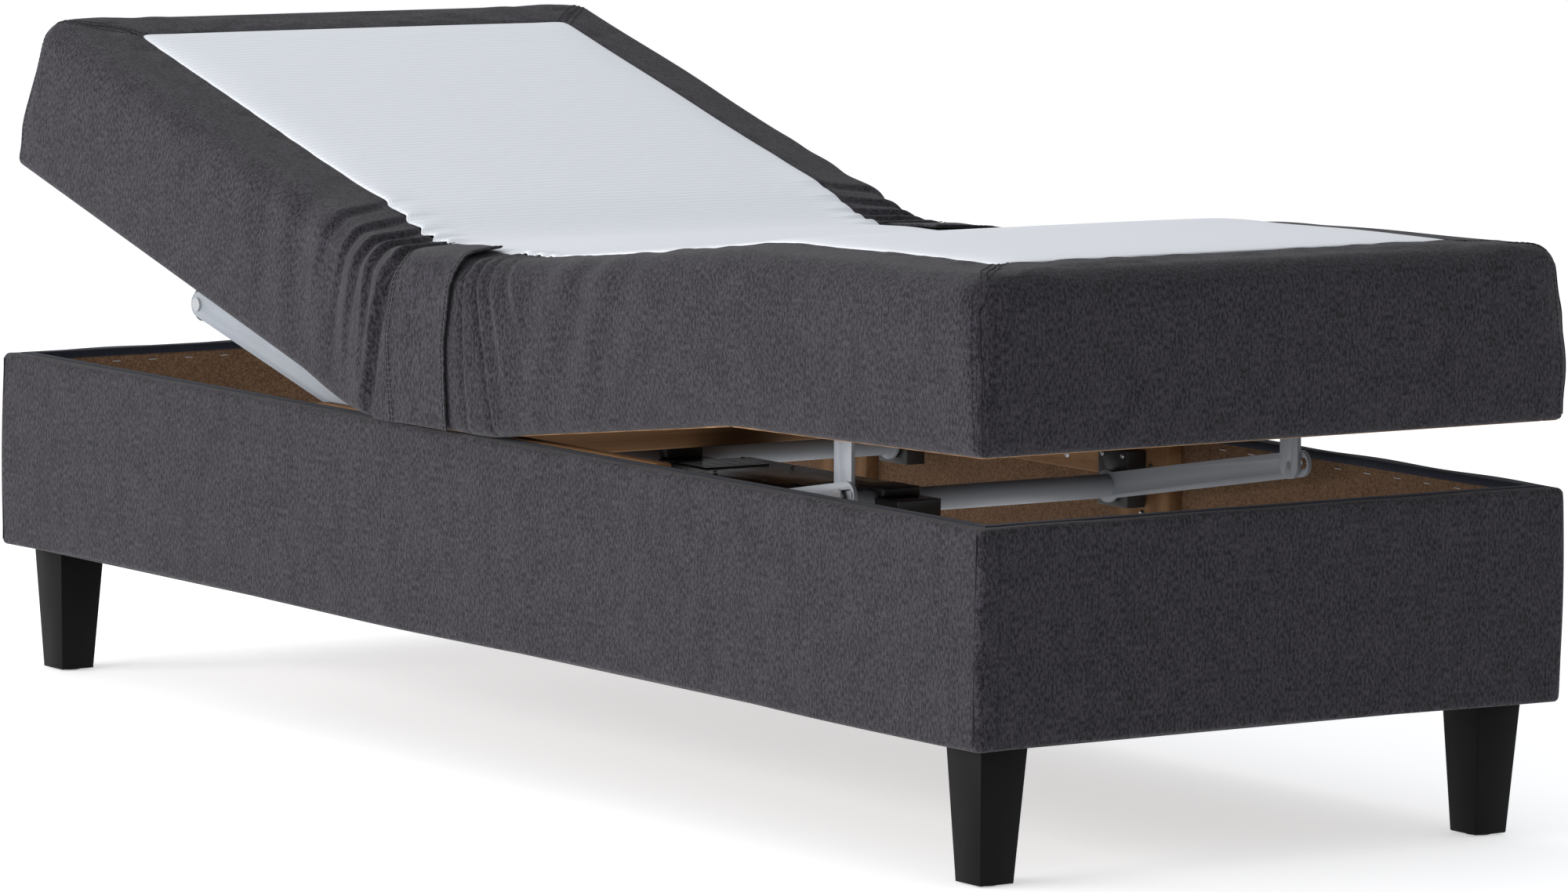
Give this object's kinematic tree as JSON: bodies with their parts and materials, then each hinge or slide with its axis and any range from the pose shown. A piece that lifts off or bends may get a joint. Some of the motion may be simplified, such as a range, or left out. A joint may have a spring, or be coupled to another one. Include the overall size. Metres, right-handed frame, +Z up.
{
  "type": "adjustable bed base",
  "caption": "Single adjustable bed base: upholstered box on four square legs with a hinged mattress body in back, seat, thigh and calf sections lifted by a twin drive and torsion tubes.",
  "frame": {"origin": "on the floor, under the middle of the box", "axes": "+Z up, +Y towards the head end along the bed, X across it"},
  "size_m": [0.8, 2, 0.809],
  "materials": {
    "chipboard": "raw chipboard, matt",
    "pine": "planed pine, matt",
    "black_wood": "black satin lacquer",
    "charcoal_fabric": "melange woven upholstery",
    "white_knit": "fine ribbed knit",
    "foam": "foam over pocket springs",
    "zinc_steel": "zinc plated",
    "grey_paint": "light grey powder coat",
    "black_plastic": "fine moulded texture",
    "nylon": "natural nylon"
  },
  "bodies": {
    "base": {"left_panel": "chipboard", "right_panel": "chipboard", "head_panel": "chipboard", "foot_panel": "chipboard", "base_cover": "charcoal_fabric", "corner_blocks": "pine", "leg_head_left": "black_wood", "leg_head_right": "black_wood", "leg_foot_left": "black_wood", "leg_foot_right": "black_wood", "leg_bolts": "zinc_steel", "leg_glides": "black_plastic", "bearers": "pine", "bearer_posts": "pine", "tube_bearings": "black_plastic", "seat_frame": "pine", "seat_core": "foam", "seat_cover": "charcoal_fabric", "seat_top": "white_knit", "seat_hinge_plates": "zinc_steel", "seat_hinge_pins": "zinc_steel", "drive_lower_shell": "black_plastic", "drive_upper_shell": "black_plastic", "drive_end_clips": "black_plastic", "head_motor": "zinc_steel", "foot_motor": "zinc_steel"},
    "back": {"back_frame": "pine", "back_core": "foam", "back_cover": "charcoal_fabric", "back_top": "white_knit", "back_hinge_plates": "zinc_steel", "back_runners": "nylon", "back_fold": "foam"},
    "thigh": {"thigh_frame": "pine", "thigh_core": "foam", "thigh_cover": "charcoal_fabric", "thigh_top": "white_knit", "thigh_hinge_plates": "zinc_steel", "knee_pins": "zinc_steel", "lap_fold": "foam"},
    "calf": {"calf_frame": "pine", "calf_core": "foam", "calf_cover": "charcoal_fabric", "calf_top": "white_knit", "calf_hinge_plates": "zinc_steel", "calf_brackets": "grey_paint", "bracket_pins": "zinc_steel", "knee_fold": "foam"},
    "back_lift": {"back_torsion_tube": "grey_paint", "back_lift_arms": "grey_paint", "roller_bolts": "zinc_steel"},
    "left_roller": {"left_roller": "black_plastic"},
    "right_roller": {"right_roller": "black_plastic"},
    "foot_lift": {"foot_torsion_tube": "grey_paint", "foot_lift_arms": "grey_paint"},
    "head_slider": {"head_slider": "nylon"},
    "foot_slider": {"foot_slider": "nylon"},
    "head_spindle": {"head_spindle": "zinc_steel"},
    "foot_spindle": {"foot_spindle": "zinc_steel"}
  },
  "joints": [
    {"name": "back_hinge", "type": "hinge", "parent": "base", "child": "back", "pos_m": [0, 0.182, 0.399], "axis": [1, 0, 0], "range_deg": [-16.45, 38.55], "deforming": ["back_fold"]},
    {"name": "thigh_hinge", "type": "hinge", "parent": "base", "child": "thigh", "pos_m": [0, -0.07, 0.399], "axis": [-1, 0, 0], "range_deg": [-7.2, 16.8], "deforming": ["lap_fold", "knee_fold"]},
    {"name": "knee_hinge", "type": "hinge", "parent": "thigh", "child": "calf", "pos_m": [0, -0.53431, 0.45766], "axis": [1, 0, 0], "range_deg": [-6.19, 14.45]},
    {"name": "back_tube_turn", "type": "hinge", "parent": "base", "child": "back_lift", "pos_m": [0, 0.135, 0.325], "axis": [1, 0, 0], "range_deg": [-13.98, 32.77]},
    {"name": "left_roller_spin", "type": "hinge", "parent": "back_lift", "child": "left_roller", "pos_m": [-0.3003, 0.68, 0.47097], "axis": [1, 0, 0], "continuous": true},
    {"name": "right_roller_spin", "type": "hinge", "parent": "back_lift", "child": "right_roller", "pos_m": [0.3003, 0.68, 0.47097], "axis": [1, 0, 0], "continuous": true},
    {"name": "foot_tube_turn", "type": "hinge", "parent": "base", "child": "foot_lift", "pos_m": [0, -0.293, 0.319], "axis": [-1, 0, 0], "range_deg": [-9.79, 22.85]},
    {"name": "head_slider_travel", "type": "slide", "parent": "base", "child": "head_slider", "axis": [0, 1, 0], "range_m": [-0.01196, 0.02802]},
    {"name": "foot_slider_travel", "type": "slide", "parent": "base", "child": "foot_slider", "axis": [0, -1, 0], "range_m": [-0.00844, 0.0197]},
    {"name": "head_spindle_turn", "type": "hinge", "parent": "base", "child": "head_spindle", "pos_m": [0, 0.05, 0.266], "axis": [0, 1, 0], "range_deg": [-538.11, 1261.04]},
    {"name": "foot_spindle_turn", "type": "hinge", "parent": "base", "child": "foot_spindle", "pos_m": [0, -0.2, 0.266], "axis": [0, -1, 0], "range_deg": [-379.92, 886.47]}
  ],
  "couplings": [
    {"joint": "knee_hinge", "follows": "thigh_hinge", "ratio": 0.86},
    {"joint": "back_tube_turn", "follows": "back_hinge", "ratio": 0.85},
    {"joint": "foot_tube_turn", "follows": "thigh_hinge", "ratio": 1.36},
    {"joint": "head_slider_travel", "follows": "back_hinge", "m_per_rad": 0.04165},
    {"joint": "foot_slider_travel", "follows": "thigh_hinge", "m_per_rad": 0.067184},
    {"joint": "head_spindle_turn", "follows": "back_hinge", "ratio": 32.712},
    {"joint": "foot_spindle_turn", "follows": "thigh_hinge", "ratio": 52.766}
  ]
}
